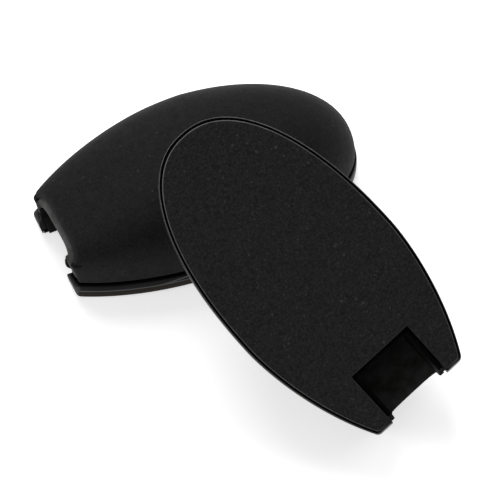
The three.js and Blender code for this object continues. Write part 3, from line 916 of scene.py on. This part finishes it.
def face_plate_mesh(material):
    """The plate, rounded at its face's edge and chamfered at its back. Each loop is a margin and a height."""
    edge = PLATE_EDGE
    loops = []
    for margin, z in (
        (edge + 0.25, 0.0),
        (edge, 0.0),
        (edge * 0.6, edge * 0.10),
        (edge * 0.28, edge * 0.30),
        (edge * 0.06, edge * 0.65),
        (0.0, edge),
        (0.0, PLATE_THICKNESS - PLATE_CHAMFER),
        (PLATE_CHAMFER, PLATE_THICKNESS),
        (0.35, PLATE_THICKNESS),
    ):
        loops.append((outline(PLATE_INSET + margin, margin, PLATE_REACH), z))
    return mesh_from(stacked(loops), "face_plate", material)


def tray_floor_mesh(material):
    inset = RIM_WALL - TRAY_OVERLAP
    loops = [(outline(inset), TRAY_FLOOR_LOW), (outline(inset), TRAY_FLOOR_HIGH)]
    return mesh_from(stacked(loops), "tray_floor", material)


def channel_plan(end, half, back, wall):
    """A U seen from above, open at the mouth."""
    inside = half - wall
    return [
        (end, -half),
        (back, -half),
        (back, half),
        (end, half),
        (end, inside),
        (back - wall, inside),
        (back - wall, -inside),
        (end, -inside),
    ]


def channel_mesh(material):
    half = NOTCH_WIDTH / 2 - FIT_GAP
    back = NOTCH_DEPTH - FIT_GAP
    middle = (TRAY_FLOOR_HIGH + CHANNEL_TOP) / 2
    reach = CHANNEL_TIP_REACH
    ends = (
        (reach, CHANNEL_FOOT),
        (reach / 2, middle - 2 * reach),
        (-reach, middle),
        (-reach, CHANNEL_TOP - 2 * reach),
        (reach, CHANNEL_TOP),
    )
    plans = [(channel_plan(end, half, back, CHANNEL_WALL), z) for end, z in ends]
    walls = mesh_from(stacked(plans), "blade_channel", material)
    out = half + FLANGE_REACH
    flange = channel_plan(RIM_WALL + FIT_GAP, out, back + FLANGE_REACH, FLANGE_REACH + FLANGE_OVERLAP)
    flange_mesh = mesh_from(stacked([(flange, FLANGE_LOW), (flange, FLANGE_HIGH)]), "flange", material)
    return joined(material, walls, flange_mesh)


def screw_places(z):
    places = []
    for x in SCREW_FROM_MOUTH:
        y = half_width(x) - SCREW_SIDE_INSET
        places += [(x, y, z), (x, -y, z)]
    return places


def close_ends(mesh):
    """Closes the open ends of a swept mesh with flat faces."""
    shape = bmesh.new()
    shape.from_mesh(mesh)
    open_edges = [edge for edge in shape.edges if edge.is_boundary]
    bmesh.ops.holes_fill(shape, edges=open_edges, sides=0)
    shape.to_mesh(mesh)
    shape.free()
    return mesh


def bevelled(mesh, width, segments=2, angle=30):
    """The mesh with its sharp edges rounded."""
    holder = bpy.data.objects.new(mesh.name, mesh)
    bpy.context.scene.collection.objects.link(holder)
    bevel = holder.modifiers.new("edges", "BEVEL")
    bevel.width = width * MM
    bevel.segments = segments
    bevel.limit_method = "ANGLE"
    bevel.angle_limit = math.radians(angle)
    bevel.harden_normals = False
    depsgraph = bpy.context.evaluated_depsgraph_get()
    result = bpy.data.meshes.new_from_object(holder.evaluated_get(depsgraph))
    bpy.data.objects.remove(holder)
    return result


def guard_meshes(finishes):
    """Every piece of one guard, in the guard's own frame."""
    shell = shell_recipe()
    cover = shell.make("dome_cover", finishes["soft_cover"])
    arc = 120
    skirt = 3
    liner = shell.make(
        "dome_liner",
        finishes["liner_plastic"],
        Count_along=90,
        Count_round=2 * arc + 4 * skirt + 7,
        Arc_segments=float(arc),
        Skirt_segments=float(skirt),
        Inset=LINER_INSET,
        Depth=LINER_DEPTH,
        Wall=LINER_WALL,
        Skirt=DOME_BASE - BOSS_FOOT,
        Skirt_start=RIM_WALL + FIT_GAP + SKIRT_SETBACK,
        Slit_width=0.0,
        Lip=LINER_LIP,
        Outer_edge_roll=0.8,
        Inner_edge_roll=0.5,
        Foot_roll=0.0,
    )
    bosses = boss_recipe().make("bosses", finishes["liner_plastic"], points=screw_places(BOSS_FOOT))
    rim = close_ends(rim_recipe().make("rim_tray", finishes["rim_plastic"]))
    screws = screw_recipe().make("screws", finishes["screw_steel"], points=screw_places(SCREW_FOOT))
    return {
        "dome_cover": facing_out(cover),
        "dome_liner": joined(finishes["liner_plastic"], facing_out(liner), facing_out(bosses)),
        "rim_tray": joined(
            finishes["rim_plastic"], facing_out(rim), facing_out(tray_floor_mesh(finishes["rim_plastic"]))
        ),
        "face_plate": facing_out(face_plate_mesh(finishes["face_plate"])),
        "blade_channel": bevelled(facing_out(channel_mesh(finishes["channel_plastic"])), CHANNEL_BEVEL),
        "screws": facing_out(screws),
    }


def note_places(mesh):
    """Keeps each point's place for the finishes.

    That is its height over the flat face, how far along the guard it is, and whether it lies on the
    mouth's end, in the gap round the plate or at the notch."""
    slack = 0.02
    wall = PLATE_INSET - PLATE_GAP - slack
    places = {"height": [], "along": [], "end": [], "gap": [], "notch": []}
    for vertex in mesh.vertices:
        x, y, z = vertex.co / MM
        inside = x > wall and half_width(min(x, GUARD_LENGTH)) - abs(y) > wall
        in_channel = abs(y) < NOTCH_WIDTH / 2 + slack and x < NOTCH_DEPTH
        at_notch = abs(y) < NOTCH_WIDTH / 2 + PLATE_EDGE and x < NOTCH_DEPTH + PLATE_EDGE
        places["height"].append(z)
        places["along"].append(x)
        places["end"].append(float(x < -ARM_FOOT_REACH / 2))
        places["gap"].append(float(inside or in_channel))
        places["notch"].append(float(at_notch))
    for name, values in places.items():
        mesh.attributes.new(name, "FLOAT", "POINT").data.foreach_set("value", values)


def smooth(mesh, angle=35):
    """Smooth shading, but sharp where faces meet at more than the angle."""
    mesh.shade_smooth()
    shape = bmesh.new()
    shape.from_mesh(mesh)
    for edge in shape.edges:
        edge.smooth = not (len(edge.link_faces) == 2 and edge.calc_face_angle(0.0) > math.radians(angle))
    shape.to_mesh(mesh)
    shape.free()


def centre_of_box(points):
    low = Vector([min(p[k] for p in points) for k in range(3)])
    high = Vector([max(p[k] for p in points) for k in range(3)])
    return (low + high) / 2


def stand(side, turn, plate):
    """Where a guard's own frame lies, from its turn and its face plate's box."""
    low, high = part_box(side + "_face_plate")
    shift = (low + high) / 2 - centre_of_box([turn @ v.co for v in plate.vertices])
    return Matrix.Translation(shift) @ turn.to_4x4()


FINISHES = {
    "soft_cover": soft_cover_finish(),
    "face_plate": face_plate_finish(),
    "rim_plastic": rim_finish(),
    "channel_plastic": hard_plastic_finish("channel_plastic", 0.0015, 0.006, 0.5, 0.65, 0.02),
    "liner_plastic": hard_plastic_finish("liner_plastic", 0.026, 0.070, 0.45, 0.6, 0.10),
    "adhesive": adhesive_finish(),
    "screw_steel": steel_finish(),
}


def build():
    meshes = guard_meshes(FINISHES)
    for mesh in meshes.values():
        note_places(mesh)
        smooth(mesh)
    lean = Euler([math.radians(a) for a in (LEAN_ROLL, LEAN_PITCH, LEAN_YAW)], "XYZ").to_matrix()
    turns = {"rear": Matrix.Identity(3), "front": lean}
    for side, turn in turns.items():
        place = stand(side, turn, meshes["face_plate"])
        for part, mesh in meshes.items():
            copy = mesh.copy()
            copy.transform(place)
            copy.name = side + "_" + part
            piece = bpy.data.objects.new(side + "_guard_" + part, copy)
            bpy.context.scene.collection.objects.link(piece)
            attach(piece, side + "_guard")
            if part == "screws":
                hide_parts(*[side + "_screw_" + str(i) for i in (1, 2, 3, 4)])
            else:
                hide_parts(side + "_" + part)
        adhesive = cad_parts[side + "_plate_adhesive"]
        adhesive.data.materials.clear()
        adhesive.data.materials.append(FINISHES["adhesive"])


# ---------------------------------------------------------------- Studio


WHITE = (1, 1, 1, 1)
FLOOR_HALF = 3.0
FLOOR_DROP = 0.02
SKY_STRENGTH = 0.24
LIGHT_AIM = (0, 0, 0.03)
LIGHTS = (
    ("key", (0.10, 0.80, 0.80), 0.9, 9.0),
    ("fill", (0.80, -0.10, 0.80), 0.9, 2.0),
    ("side", (-0.95, 0.10, 0.50), 0.6, 2.5),
)
CAMERA_TARGET = (5.07, 18.03, 0)
CAMERA_BACK = (-0.2653, -0.5407, 0.7983)
CAMERA_DISTANCE = 807.25
CAMERA_LENS = 172.8


def floor_finish():
    glow = {"Emission_Color": WHITE, "Emission_Strength": 0.6}
    finish = Finish("studio_floor", Specular_IOR_Level=0.1, Roughness=0.9, **glow)
    wash = finish.noise(400, 2)
    return finish.set(Base_Color=finish.mix(finish.band(wash, 0.3, 0.7), grey(0.93), grey(0.95)))


def facing(direction):
    """The turn that points a light or a camera in a direction."""
    return direction.to_track_quat("-Z", "Y").to_euler()


def studio():
    half, level = FLOOR_HALF, -FLOOR_DROP * MM
    mesh = bpy.data.meshes.new("floor")
    corners = [(-half, -half, level), (half, -half, level), (half, half, level), (-half, half, level)]
    mesh.from_pydata(corners, [], [(0, 1, 2, 3)])
    mesh.materials.append(floor_finish())
    floor = bpy.data.objects.new("floor", mesh)
    bpy.context.scene.collection.objects.link(floor)

    world = bpy.data.worlds.new("studio")
    world.use_nodes = True
    sky = world.node_tree.nodes["Background"]
    sky.inputs["Color"].default_value = WHITE
    sky.inputs["Strength"].default_value = SKY_STRENGTH
    bpy.context.scene.world = world

    for name, place, size, power in LIGHTS:
        light = bpy.data.lights.new(name, "AREA")
        light.shape = "DISK"
        light.size = size
        light.energy = power
        lamp = bpy.data.objects.new(name, light)
        lamp.location = place
        lamp.rotation_euler = facing(Vector(LIGHT_AIM) - Vector(place))
        bpy.context.scene.collection.objects.link(lamp)


def camera():
    target = Vector(CAMERA_TARGET) * MM
    back = Vector(CAMERA_BACK).normalized()
    data = bpy.data.cameras.new("camera")
    data.sensor_width = 36
    data.lens = CAMERA_LENS
    data.clip_start = 0.05
    data.clip_end = 20
    eye = bpy.data.objects.new("camera", data)
    eye.location = target + back * CAMERA_DISTANCE * MM
    eye.rotation_euler = facing(-back)
    bpy.context.scene.collection.objects.link(eye)
    bpy.context.scene.camera = eye


build()
studio()
camera()
bpy.context.scene.view_settings.view_transform = "Standard"
